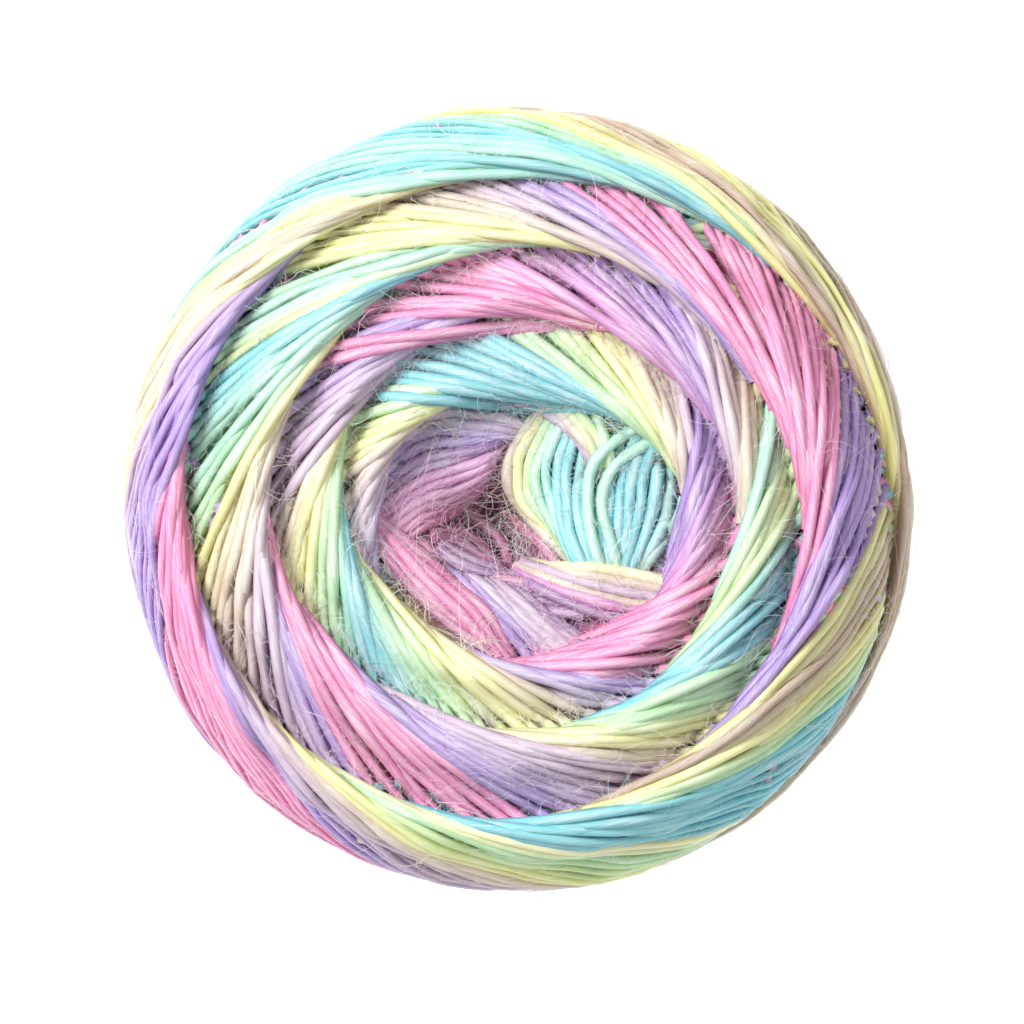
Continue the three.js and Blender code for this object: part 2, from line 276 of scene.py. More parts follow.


# %% [markdown]
# ## Strands round the pit
# The first turns were drawn about when the inner end was tucked in, so they no longer follow the
# winding. They lie in small fans. The table gives the first and the last strand of each fan as a
# few places in millimetres from the axis, how many strands it has, its dyes, and which of its
# ends dives into the pit. Their magenta and plum are deeper than any dye further out: partly the
# yarn's own colour there, partly painted shade of the pit.

# %% Fans of the inmost turns
FANS = [
    # first strand, last strand, strands, dyes, end that dives
    ([(-17.0, -3.0), (-8.0, -9.0), (0.0, -11.0), (9.0, -12.5)],
     [(-18.0, -9.0), (-9.0, -14.5), (0.0, -18.5), (9.0, -20.5)],
     8, "magenta plum rose lilac", "none"),
    ([(-2.4, -1.2), (1.0, -4.0), (3.2, -6.1), (5.4, -9.4)],
     [(-2.4, -1.2), (1.0, -4.0), (3.2, -6.1), (5.4, -9.4)], 1, "magenta rose", "start"),
    ([(-6.8, -1.6), (-4.5, -3.4), (-2.1, -5.7), (-0.9, -8.9)],
     [(-6.8, -1.6), (-4.5, -3.4), (-2.1, -5.7), (-0.9, -8.9)], 1, "magenta rose", "end"),
    ([(-11.5, -4.6), (-8.4, -4.4), (-4.9, -6.3), (-2.4, -9.8)],
     [(-10.7, -6.5), (-8.6, -8.6), (-4.9, -10.0), (-0.5, -10.2)], 4, "magenta plum", "end"),
    ([(-18.0, -7.6), (-12.7, -3.8), (-9.2, -1.8), (-6.0, 0.6), (-4.4, 3.3)],
     [(-21.5, -3.6), (-13.9, 2.1), (-8.8, 3.7), (-4.9, 4.9), (-0.8, 7.9)], 6, "magenta rose", "end"),
    ([(-21.5, -2.0), (-13.9, 3.7), (-8.8, 5.3), (-4.9, 6.5), (-0.8, 8.9)],
     [(-19.5, 7.5), (-11.7, 11.6), (-6.0, 11.4), (-1.3, 10.4), (3.2, 8.8)],
     6, "plum purple lilac", "end"),
    ([(4.5, 14.5), (-0.3, 6.8), (-1.3, 3.3), (0.1, -0.4), (3.6, -4.2), (8.0, -9.0), (10.4, -13.0)],
     [(10.0, 14.5), (7.2, 7.0), (6.7, 3.4), (6.6, -0.4), (6.9, -4.2), (8.8, -9.0), (10.8, -13.0)],
     7, "beige yellow green mint aqua aqua", "end"),
    ([(10.3, 11.5), (8.3, 4.0), (8.0, 0.0), (8.7, -4.5), (11.2, -13.0)],
     [(20.5, 11.5), (17.2, 3.6), (16.8, -0.6), (15.6, -5.0), (13.6, -13.0)], 7, "aqua", "end"),
    ([(-3.3, 13.9), (3.0, 12.2), (7.2, 9.2), (10.0, 5.6), (11.4, 2.0)],
     [(8.9, 15.5), (10.9, 11.0), (11.8, 8.0), (12.2, 4.4), (12.0, 1.6)],
     5, "lilac beige lime green", "end"),
    ([(19.5, 12.5), (22.4, 6.0), (22.4, 0.4), (20.6, -5.0), (14.4, -12.5)],
     [(17.8, 12.0), (19.0, 6.0), (18.7, 0.8), (17.4, -4.6), (13.9, -12.5)], 3, "mint aqua", "end"),
    ([(19.5, 11.5), (14.0, 8.2), (10.4, 4.9), (9.3, 0.2), (10.1, -5.2), (12.6, -12.5)],
     [(22.0, 10.5), (17.0, 7.4), (13.0, 4.2), (11.5, -0.4), (12.4, -5.2), (14.6, -12.5)],
     2, "mint", "end"),
    ([(1.6, -8.5), (5.6, -8.9), (10.5, -9.3), (16.8, -10.2), (23.5, -11.9)],
     [(-0.7, -9.8), (3.4, -11.8), (8.1, -14.2), (12.8, -15.8), (19.9, -16.6)],
     6, "lemon beige lilac beige rose plum", "start"),
    ([(-2.9, -10.2), (1.0, -12.8), (5.0, -16.0), (9.3, -19.1), (14.8, -22.5)],
     [(-10.4, -9.0), (-6.8, -11.6), (-2.9, -15.6), (0.7, -19.9), (3.6, -24.8)],
     7, "plum lilac purple", "start"),
    ([(-20.6, -1.0), (-13.5, -7.2), (-8.4, -11.2), (-3.7, -15.9), (0.5, -23.4)],
     [(-21.2, -2.0), (-17.8, -7.1), (-14.7, -11.4), (-10.7, -15.4), (-4.2, -20.6)],
     5, "magenta pink magenta", "none"),
]
DIVE_DEPTH = 3.0                   # mm by which a diving end goes down
DIVE_LENGTH = 4.0                  # mm of strand over which it does
CURVE_STEPS = 24                   # points between two places of a guide
FAN_STRAY = 0.18                   # mm by which a guide point of a strand strays


def smooth_curve(points):
    """A curve through a few places, at the spacing of all paths (Catmull-Rom)."""
    points = np.array(points)
    padded = np.concatenate([[2 * points[0] - points[1]], points, [2 * points[-1] - points[-2]]])
    pieces = []
    for a, b, c, d in zip(padded, padded[1:], padded[2:], padded[3:]):
        t = np.linspace(0, 1, CURVE_STEPS, endpoint=False)[:, None]
        pieces.append(0.5 * (2 * b + (c - a) * t + (2 * a - 5 * b + 4 * c - d) * t**2
                             + (3 * b - a - 3 * c + d) * t**3))
    curve = np.concatenate(pieces + [points[-1:]])
    length = np.concatenate([[0], np.cumsum(np.hypot(*np.diff(curve, axis=0).T))])
    even = np.arange(0, length[-1], PATH_STEP)
    return np.interp(even, length, curve[:, 0]), np.interp(even, length, curve[:, 1])


def fan_strands(fan):
    """Paths of one fan with how far each point is drawn down into the pit."""
    first, last, count, words, diving = fan
    for share in np.linspace(0, 1, count) if count > 1 else [0.0]:
        places = np.array(first) * (1 - share) + np.array(last) * share
        x, y = smooth_curve(places + rng.normal(0, FAN_STRAY, places.shape))
        from_start = np.arange(len(x)) * PATH_STEP
        left = from_start if diving == "start" else from_start[::-1]
        sink = DIVE_DEPTH * (1 - smooth_step(0, DIVE_LENGTH, left)) if diving != "none" else 0 * left
        yield way_at(np.hypot(x, y), 1), np.unwrap(np.arctan2(y, x)), sink, dye_at(words, share)


# %% [markdown]
# ## Plan of the wraps
# A machine sets each wrap at an even step, but soft yarn never lands exactly there. So each wrap
# misses its place a little, and its dye is a little paler or deeper than its neighbour's.

# %% Every wrap of the ball
AZIMUTH_PLAY = 0.65                # degrees by which a wrap misses its place
REACH_PLAY = 0.22                  # mm
LARGEST_REACH = 53.8               # a wrap further out than this would slip off the shoulder
SHADE_PLAY = 0.035


def plan_wraps():
    wraps = []
    for row, (start, end, reach_start, reach_end, words) in enumerate(BUNDLES):
        count = round((start - end) / WRAP_STEP) + 1
        for share in np.linspace(0, 1, count):
            azimuth = start + (end - start) * share + rng.normal(0, AZIMUTH_PLAY)
            reach = reach_start + (reach_end - reach_start) * share + rng.normal(0, REACH_PLAY)
            shade = 1 + rng.normal(0, SHADE_PLAY)
            wraps.append({
                "row": row,
                "azimuth": math.radians(azimuth),
                "reach": float(np.clip(reach, 1, LARGEST_REACH)),
                "tint": np.clip(dye_at(words, share) * shade, 0, 1),
            })
    return wraps


wraps = plan_wraps()
print(len(wraps), "wraps in", len(BUNDLES), "bundles")

# %% [markdown]
# ## Way of one wrap
# A wrap is nearest to the axis in the middle of its way over the top. Seen from above it then
# runs nearly straight to the shoulder, a little fuller than a straight line because the ends
# are domed, and makes up the rest of its quarter turn on the flank. Under the bottom it does the
# same on the other side of the axis, so a whole wrap is one turn less one step.

# %% Path of a wrap on the form
FULLNESS = 0.24                    # how much more than a straight chord a wide wrap swings
FULL_FROM = 10.0
FULL_TO = 40.0
FLANK_FROM = 47.0                  # radius at which the strand starts to lean into the flank
FLANK_POWER = 1.8                  # how late the lean grows on its way down
QUARTER_STEPS = 600
UNDER_SHARE = 0.98                 # underneath, wraps keep almost the same distance
UNDER_EXTRA = 1.5


def quarter(reach, side):
    """Meridian distance and swing from a wrap's nearest point to the belly, evenly spaced."""
    near = way_at(reach, side)
    share = np.linspace(0, 1, QUARTER_STEPS + 1) ** 2
    way = near + (BELLY_WAY - near) * share
    radius = np.maximum(np.interp(way, form_way, form_radius), reach)
    straightness = 1 - FULLNESS * smooth_step(FULL_FROM, FULL_TO, reach)
    swing = np.arccos(np.clip(reach / radius, -1, 1)) / straightness
    lean_from = way_at(max(FLANK_FROM, reach), side)
    flank = np.clip((way - lean_from) / (BELLY_WAY - lean_from), 0, 1)
    swing = swing + (np.pi / 2 - swing[-1]) * flank**FLANK_POWER
    length = np.concatenate([[0], np.cumsum(np.hypot(np.diff(way), radius[1:] * np.diff(swing)))])
    even = np.linspace(0, length[-1], max(int(length[-1] / PATH_STEP), 8) + 1)
    return np.interp(even, length, way), np.interp(even, length, swing)


def wrap_path(wrap, azimuth_after):
    """One wrap: over the top, then under the bottom to where the next one starts."""
    start = wrap["azimuth"]
    way_top, swing_top = quarter(wrap["reach"], 1)
    under = min(wrap["reach"] * UNDER_SHARE + UNDER_EXTRA, LARGEST_REACH)
    way_low, swing_low = quarter(under, -1)
    low = (start + azimuth_after) / 2 + np.pi
    slack = (start - azimuth_after) / 2
    bend_in = (swing_low[:0:-1] / (np.pi / 2)) ** 2
    bend_out = (swing_low[1:] / (np.pi / 2)) ** 2
    way = np.concatenate([way_top[::-1], way_top[1:], way_low[:0:-1], way_low[1:]])
    azimuth = np.concatenate([
        start - swing_top[::-1],
        start + swing_top[1:],
        low - swing_low[:0:-1] + slack * bend_in,
        low + swing_low[1:] - slack * bend_out,
    ])
    return way, azimuth


# %% [markdown]
# ## Winding
# How high a strand lies depends on what is already there. The top and the underside each get a
# map of heights over the form, with the meridian distance as the radius. A new strand reads the
# heights under its width, rests on them, bridges hollows because it is pulled taut, and writes
# its own back into the map. Soft yarn flattens where it is crossed, so a layer adds about half of
# a strand's thickness.

# %% Maps and helpers
CELL = 0.36                        # mm between the places of a map
STRAND_HALF_WIDTH = 0.875          # on the ends of the ball
RIM_HALF_WIDTH = 0.74              # over the shoulder, where they lie closest together
NARROW_FROM = 36.0                 # radii between which it narrows
NARROW_TO = 48.0
LAID_HALF_THICKNESS = 0.36         # of a strand that others press flat
ACROSS = np.linspace(-0.94, 0.94, 9)
CROWN = np.sqrt(1 - ACROSS**2)
LARGEST_STRETCH = 1.7              # of the flat map round the axis, where the ball turns down
SEAM_OVERLAP = 2                   # mm by which the two maps overlap at the belly
MAP_REACH = int((max(BELLY_WAY, WHOLE_WAY - BELLY_WAY) + 3) / CELL) + 3
MAP_SIDE = 2 * MAP_REACH + 1
EMPTY = -1


def softened_line(values, sigma):
    reach = int(3 * sigma)
    weight = np.exp(-((np.arange(-reach, reach + 1) / sigma) ** 2) / 2)
    return np.convolve(np.pad(values, reach, mode="edge"), weight / weight.sum(), mode="valid")


def narrowing(radius):
    return 1 + (RIM_HALF_WIDTH / STRAND_HALF_WIDTH - 1) * smooth_step(NARROW_FROM, NARROW_TO, radius)


def lateral(way, azimuth, radius):
    """Unit direction across the strand, along the meridian and around the axis."""
    d_way = np.gradient(way)
    d_round = radius * np.gradient(azimuth)
    length = np.hypot(d_way, d_round) + 1e-9
    return -d_round / length, d_way / length


def cells_across(way, azimuth, side, shift):
    """Map cells under the width of a strand, and which points lie on this side's map."""
    own_way = way if side > 0 else WHOLE_WAY - way
    radius = np.interp(way, form_way, form_radius)
    along_meridian, around = lateral(way, azimuth, radius)
    along_meridian = along_meridian * side
    stretch = np.minimum(own_way / np.maximum(radius, 0.5), LARGEST_STRETCH)
    offset = ACROSS[:, None] * STRAND_HALF_WIDTH * narrowing(radius)[None, :] + shift[None, :]
    x = own_way * np.cos(azimuth)
    y = own_way * np.sin(azimuth)
    x = x + offset * (along_meridian * np.cos(azimuth) - around * stretch * np.sin(azimuth))
    y = y + offset * (along_meridian * np.sin(azimuth) + around * stretch * np.cos(azimuth))
    column = np.clip(np.rint(x / CELL).astype(int) + MAP_REACH, 0, MAP_SIDE - 1)
    line = np.clip(np.rint(y / CELL).astype(int) + MAP_REACH, 0, MAP_SIDE - 1)
    limit = BELLY_WAY if side > 0 else WHOLE_WAY - BELLY_WAY
    return line, column, own_way < limit + SEAM_OVERLAP


# %% [markdown]
# ## One strand laid down
# A machine lays yarn under pull, so a strand's height is the highest thing under it, evened out
# along its way. The slack strands round the pit are evened out less.

# %% Lay one strand on the maps
TAUT_SIGMA = 5.0                   # path steps over which the pull evens out a strand's height
TAUT_ROUNDS = 3
LAST_SIGMA = 2.0
GIVE = 0.12                        # a strand sinks this far into the highest thing below it
map_y, map_x = np.mgrid[-MAP_REACH : MAP_REACH + 1, -MAP_REACH : MAP_REACH + 1] * CELL
heights = {1: -pit_depth(map_x, map_y), -1: np.zeros((MAP_SIDE, MAP_SIDE))}
owners = {side: np.full((MAP_SIDE, MAP_SIDE), EMPTY) for side in (1, -1)}


def lay(way, azimuth, shift, owner, rounds=TAUT_ROUNDS, sink=0.0):
    """Height of the strand's middle along its way, after it has been written into the maps."""
    rest = np.zeros(len(way))
    places = {}
    for side in (1, -1):
        line, column, near = cells_across(way, azimuth, side, shift)
        below = heights[side][line, column]
        touch = np.max(below + LAID_HALF_THICKNESS * (CROWN[:, None] - 1), axis=0)
        support = (touch + np.mean(below, axis=0)) / 2 + LAID_HALF_THICKNESS
        here = way <= BELLY_WAY if side > 0 else way > BELLY_WAY
        rest[here] = support[here]
        places[side] = (line, column, near)
    taut = softened_line(rest, TAUT_SIGMA)
    for _ in range(rounds):
        taut = softened_line(np.maximum(rest, taut), TAUT_SIGMA)
    middle = softened_line(np.maximum(taut, rest - GIVE) - sink, LAST_SIGMA)
    for side, (line, column, near) in places.items():
        top = (middle[None, :] + LAID_HALF_THICKNESS * CROWN[:, None])[:, near].ravel()
        order = np.argsort(top)
        lines = line[:, near].ravel()[order]
        columns = column[:, near].ravel()[order]
        top = top[order]
        higher = top > heights[side][lines, columns]
        heights[side][lines[higher], columns[higher]] = top[higher]
        owners[side][lines[higher], columns[higher]] = owner
    return middle


# %% Wind the ball
WOBBLES = (4.0, 7.0, 13.0)         # mm over 2 pi, the lengths over which a strand strays sideways
WOBBLE_SIZE = 0.15
BREAK_ANGLE = 0.5                  # radians between wraps, beyond which a new bundle starts
AFTER_LAST = -9.0                  # radians, further on than any wrap
FAN_ROUNDS = 1                     # slack strands follow what they lie on
INMOST = -1                        # row number of the strands round the pit


def sideways(count):
    way = np.arange(count) * PATH_STEP
    shift = np.zeros(count)
    for length in WOBBLES:
        shift += rng.normal(0, WOBBLE_SIZE) * np.sin(way / length + rng.uniform(0, 2 * np.pi))
    return shift


strands = []


def remember(way, azimuth, shift, middle, row, tint):
    strands.append({"way": way, "azimuth": azimuth, "shift": shift, "middle": middle,
                    "row": row, "tint": tint})


for fan in FANS:
    for way, azimuth, sink, tint in fan_strands(fan):
        shift = np.zeros(len(way))
        middle = lay(way, azimuth, shift, len(strands), FAN_ROUNDS, sink)
        remember(way, azimuth, shift, middle, INMOST, tint)
print(len(strands), "strands round the pit")

for number, wrap in enumerate(wraps):
    follower = wraps[number + 1]["azimuth"] if number + 1 < len(wraps) else AFTER_LAST
    if wrap["azimuth"] - follower > BREAK_ANGLE:
        follower = wrap["azimuth"] - math.radians(WRAP_STEP)
    way, azimuth = wrap_path(wrap, follower)
    shift = sideways(len(way))
    middle = lay(way, azimuth, shift, len(strands))
    remember(way, azimuth, shift, middle, wrap["row"], wrap["tint"])
print("wound", round(sum(len(s["way"]) for s in strands) * PATH_STEP * MM, 1), "m of yarn")

# %% [markdown]
# ## Back to the ball's own form
# Piling up every wrap makes the map grow thicker wherever strands crowd. The real ball has that
# growth in its form already, so the broad shape of the map is taken out and only the steps of the
# bundles stay. The pull of the yarn keeps those low, and lower on the flank than on the ends.

# %% Broad form of the maps
BROAD_WIDTH = 9.0                  # mm, the blur that leaves only the broad form
END_RELIEF = 2.4                   # mm by which a bundle may stand out on the ends of the ball
FLANK_RELIEF = 0.9
SHOULDER_FROM = 0.88               # shares of the belly's radius between which it changes over
SHOULDER_TO = 0.99
BLUR_ROUNDS = 3                    # box blurs in a row, which come close to a bell curve
BOX_SHARE = 1.8                    # how often a box's half width goes into the named width


def box_blur(values, half):
    for axis in (0, 1):
        padded = np.pad(values, [(half + 1, half) if a == axis else (0, 0) for a in (0, 1)], mode="edge")
        total = np.cumsum(padded, axis=axis)
        count = values.shape[axis]
        high = np.take(total, range(2 * half + 1, 2 * half + 1 + count), axis=axis)
        low = np.take(total, range(0, count), axis=axis)
        values = (high - low) / (2 * half + 1)
    return values


def broad(values, weight, width):
    """Blurred values, each counted by its weight."""
    half = int(round(width / BOX_SHARE / CELL))
    for _ in range(BLUR_ROUNDS):
        values, weight = box_blur(values, half), box_blur(weight, half)
    return values / np.maximum(weight, 1e-6)


SOFT_WIDTH = 0.8                   # mm, enough to take single strands out of the surface
LOW_CELLS = 4                      # the ground stays below the lowest strand this near
SEAM_WIDTH = 7.0                   # mm over which the two maps' reliefs fade out at the belly
DEEPEST = -2.2                     # mm by which a strand may lie under the surface
HIGHEST = 0.9
MAP_MARGIN = 1.5                   # mm of each map past the belly that still counts
MOUTH_DEPTH = 0.5                  # mm of pit, from which the form leaves a place out
disc = {side: np.hypot(map_x, map_y) < limit for side, limit in
        ((1, BELLY_WAY + MAP_MARGIN), (-1, WHOLE_WAY - BELLY_WAY + MAP_MARGIN))}
mouth = pit_depth(map_x, map_y)


def lowest_nearby(values):
    lowest = values.copy()
    for axis in (0, 1):
        source = lowest.copy()
        for shift in range(-LOW_CELLS, LOW_CELLS + 1):
            lowest = np.minimum(lowest, np.roll(source, shift, axis=axis))
    return lowest


forms = {}
soft_heights = {}
low_heights = {}
for side in (1, -1):
    weight = disc[side] * (owners[side] != EMPTY)
    laid = weight.astype(float)
    soft = broad(heights[side] * laid, laid, SOFT_WIDTH)
    soft_heights[side] = np.where(laid > 0, soft, heights[side])
    low = lowest_nearby(np.where(laid > 0, heights[side], heights[side].max()))
    low_heights[side] = broad(low, np.ones_like(low), SOFT_WIDTH)
    if side > 0:
        weight = weight * (mouth < MOUTH_DEPTH)
    weight = weight.astype(float)
    forms[side] = broad(heights[side] * weight, weight, BROAD_WIDTH)
print("build-up of the top, mm", round(float(forms[1][disc[1]].mean()), 1))


def read_map(values, way, azimuth, side):
    own_way = way if side > 0 else WHOLE_WAY - way
    x = own_way * np.cos(azimuth) / CELL + MAP_REACH
    y = own_way * np.sin(azimuth) / CELL + MAP_REACH
    column = np.clip(np.floor(x).astype(int), 0, MAP_SIDE - 2)
    line = np.clip(np.floor(y).astype(int), 0, MAP_SIDE - 2)
    u, v = np.clip(x - column, 0, 1), np.clip(y - line, 0, 1)
    low = values[line, column] * (1 - u) + values[line, column + 1] * u
    high = values[line + 1, column] * (1 - u) + values[line + 1, column + 1] * u
    return low * (1 - v) + high * v


def both_sides(maps, way, azimuth):
    """Reads the top's map above the belly and the underside's below it."""
    return np.where(way <= BELLY_WAY, read_map(maps[1], way, azimuth, 1),
                    read_map(maps[-1], way, azimuth, -1))


def surface_lift(way, azimuth, maps):
    """How far a map's surface stands above or below the ball's own form."""
    radius = np.interp(way, form_way, form_radius)
    shoulder = smooth_step(SHOULDER_FROM * BELLY_RADIUS, SHOULDER_TO * BELLY_RADIUS, radius)
    limit = END_RELIEF + (FLANK_RELIEF - END_RELIEF) * shoulder
    depth = np.where(way <= BELLY_WAY, pit_depth(radius * np.cos(azimuth), radius * np.sin(azimuth)), 0)
    seam = 1 - np.exp(-(((way - BELLY_WAY) / SEAM_WIDTH) ** 2))
    raw = (both_sides(maps, way, azimuth) - both_sides(forms, way, azimuth)) * seam
    down = limit + depth
    return np.where(raw > 0, limit * np.tanh(raw / limit), down * np.tanh(raw / down))


def strand_lift(way, azimuth, middle):
    """Lift of a strand: the surface's own, and how the strand lies against that surface."""
    against = middle - both_sides(soft_heights, way, azimuth)
    return surface_lift(way, azimuth, soft_heights) + np.clip(against, DEEPEST, HIGHEST)


# %% [markdown]
# ## Stretches in sight
# Most of every wrap lies under later ones. A strand is in sight where its crown reaches the final
# map, and it is kept a little beyond both ends of such a stretch, so that it dives under its
# neighbours instead of stopping.

# %% Find what shows
SIGHT_GAP = 0.42                   # mm by which a crown may lie below the map and still be in sight
SHOULDER_SIGHT_GAP = 2.0           # the same over the shoulder, which is seen aslant
TUCK = 14                          # path steps that a stretch goes on under its neighbours
SHOULDER_TUCK = 70                 # the same over the shoulder, where layers pile up outwards
SHOULDER_TUCK_FROM = 42.0
SHOULDER_BLEND = (40.0, 46.0)      # radii between which the wider sight gap takes over
RIM_BLEND = (53.0, 54.3)           # and between which it ends again
SHORTEST = 8                       # path steps; a shorter stretch is left out


def in_sight(strand):
    seen = np.zeros(len(strand["way"]), bool)
    for side in (1, -1):
        line, column, _ = cells_across(strand["way"], strand["azimuth"], side, strand["shift"])
        crown = strand["middle"][None, :] + LAID_HALF_THICKNESS * CROWN[:, None]
        radius = np.interp(strand["way"], form_way, form_radius)
        over = smooth_step(*SHOULDER_BLEND, radius) * (1 - smooth_step(*RIM_BLEND, radius))
        over = over * (strand["way"] < BELLY_WAY)
        gap = SIGHT_GAP + (SHOULDER_SIGHT_GAP - SIGHT_GAP) * over
        shown = (crown > heights[side][line, column] - gap).sum(axis=0) >= 2
        here = strand["way"] <= BELLY_WAY if side > 0 else strand["way"] > BELLY_WAY
        seen |= shown & here
    return seen


def stretches(seen, radius):
    """Start and end of each run of seen points, after short ones go and the rest are tucked in."""
    edges = np.flatnonzero(np.diff(np.concatenate([[0], seen.astype(int), [0]])))
    runs = [(a, b) for a, b in zip(edges[::2], edges[1::2]) if b - a >= SHORTEST]
    wide = np.zeros(len(seen), bool)
    for a, b in runs:
        before = SHOULDER_TUCK if radius[a] > SHOULDER_TUCK_FROM else TUCK
        after = SHOULDER_TUCK if radius[b - 1] > SHOULDER_TUCK_FROM else TUCK
        wide[max(a - before, 0) : b + after] = True
    edges = np.flatnonzero(np.diff(np.concatenate([[0], wide.astype(int), [0]])))
    return list(zip(edges[::2], edges[1::2]))


# %% [markdown]
# ## Strands
# In sight, a strand is a tube of soft yarn that swells and thins, because the fibres are only
# lightly spun. The tubes follow a path, so Geometry Nodes make them: the script hands over bare
# polylines with their dye, girth and length as attributes, and the tree sweeps a small ring along
# them. The ring's own direction is stored too, for the fibres of the material to wind round it.

# %% Functions that start a tree and add a node
def add_node(tree, kind, inputs=(), **settings):
    """Adds a node; inputs maps a socket's name or number to a value or to another node's output."""
    new = tree.nodes.new(kind)
    for name, value in settings.items():
        setattr(new, name, value)
    for key, value in dict(inputs).items():
        if isinstance(value, bpy.types.NodeSocket):
            tree.links.new(value, new.inputs[key])
        else:
            new.inputs[key].default_value = value
    return new


def new_tree(name, inputs):
    """A Geometry Nodes tree with these named inputs and one geometry output."""
    tree = bpy.data.node_groups.new(name, "GeometryNodeTree")
    for label, kind in inputs:
        tree.interface.new_socket(label, in_out="INPUT", socket_type="NodeSocket" + kind)
    tree.interface.new_socket("Geometry", in_out="OUTPUT", socket_type="NodeSocketGeometry")
    return tree


# %% Tree that sweeps the strands
TABLE_TOUCH = 0.03                 # mm between the pressed strands and the table


def strand_tree():
    tree = new_tree("sweep_strands", [
        ("Geometry", "Geometry"), ("Strand radius", "Float"), ("Sides", "Int"), ("Material", "Material")])
    given = add_node(tree, "NodeGroupInput")
    curve = add_node(tree, "GeometryNodeMeshToCurve", {"Mesh": given.outputs["Geometry"]})
    ring = add_node(tree, "GeometryNodeCurvePrimitiveCircle", {
        "Resolution": given.outputs["Sides"], "Radius": given.outputs["Strand radius"]})
    place = add_node(tree, "GeometryNodeInputPosition")
    unit = add_node(tree, "ShaderNodeVectorMath", {0: place.outputs[0]}, operation="NORMALIZE")
    rim = add_node(tree, "GeometryNodeStoreNamedAttribute", {
        "Geometry": ring.outputs["Curve"], "Name": "rim", "Value": unit.outputs["Vector"]},
        data_type="FLOAT_VECTOR", domain="POINT")
    girth = add_node(tree, "GeometryNodeInputNamedAttribute", {"Name": "girth"}, data_type="FLOAT")
    tube = add_node(tree, "GeometryNodeCurveToMesh", {
        "Curve": curve.outputs["Curve"], "Profile Curve": rim.outputs["Geometry"],
        "Scale": girth.outputs["Attribute"], "Fill Caps": True})
    smooth = add_node(tree, "GeometryNodeSetShadeSmooth", {"Geometry": tube.outputs["Mesh"]})
    real = add_node(tree, "GeometryNodeRealizeInstances", {"Geometry": smooth.outputs["Geometry"]})
    dressed = add_node(tree, "GeometryNodeSetMaterial", {
        "Geometry": real.outputs["Geometry"], "Material": given.outputs["Material"]})
    add_node(tree, "NodeGroupOutput", {"Geometry": dressed.outputs["Geometry"]})
    return tree


def press_on_table(mesh):
    """Flattens what would reach into the table, as the weight of the ball does."""
    places = np.empty(len(mesh.vertices) * 3, np.float32)
    mesh.vertices.foreach_get("co", places)
    places[2::3] = np.maximum(places[2::3], TABLE_TOUCH * MM)
    mesh.vertices.foreach_set("co", places)
    mesh.update()


def run_tree(name, source, tree, values):
    """Runs a node tree on a mesh and returns its result as an object with a plain mesh."""
    maker = bpy.data.objects.new(name + "_maker", source)
    bpy.context.scene.collection.objects.link(maker)
    modifier = maker.modifiers.new("nodes", "NODES")
    modifier.node_group = tree
    for item in tree.interface.items_tree:
        if item.in_out == "INPUT" and item.name in values:
            modifier[item.identifier] = values[item.name]
    evaluated = maker.evaluated_get(bpy.context.evaluated_depsgraph_get())
    mesh = bpy.data.meshes.new_from_object(evaluated)
    mesh.name = name
    press_on_table(mesh)
    bpy.data.objects.remove(maker)
    bpy.data.meshes.remove(source)
    piece = bpy.data.objects.new(name, mesh)
    bpy.context.scene.collection.objects.link(piece)
    print(name, sum(len(face.vertices) - 2 for face in mesh.polygons), "triangles")
    return piece


# %% [markdown]
# ## Yarn material
# The yarn is a brushed blend of alpaca and wool, lightly spun. Light gets into the pale fibres and
# comes out again, so it has no hard highlight: high roughness, a white sheen that lightens its edges,
# and fine fibres that wind round the strand as small bumps. Light and shade are painted into the
# colour as well: a painted highlight makes each strand's crown paler towards near-white, and painted
# shade darkens its sides down into the grooves; the fibres make the edges of both ragged. The fibres
# use the strand's own rim direction and length, so they turn with it.

# %% Brushed alpaca yarn
FIBRE_TURN = 0.024                 # metres in which a fibre winds once round the strand
FIBRE_SCALE = 5.0                  # the larger it is, the finer the fibres
FIBRE_STRETCH = 40.0               # the smaller it is, the longer a fibre shows
FIBRE_CONTRAST = 1.5               # how far single fibres stand out of the strand, in strand radii
PAINTED_HIGHLIGHT_COLOUR = "#F9F7F7"            # painted highlight: near-white undyed fibre with the light on it, painted over the crowns
PAINTED_HIGHLIGHT_FROM, PAINTED_HIGHLIGHT_TO, PAINTED_HIGHLIGHT_MIX = 0.72, 1.25, 0.45     # painted highlight: heights on a strand in radii over which its crown is painted paler, and the most
PAINTED_SHADE_FROM, PAINTED_SHADE_TO, PAINTED_SHADE_MIX = 0.85, -0.1, 0.85     # painted shade: the same from the crown down into the groove, where its sides are painted darker
PAINTED_GROOVE_SHADE = (0.84, 0.78, 0.84)  # painted shade: light that a groove still gives back
STRAND_RADIUS = 0.78               # mm


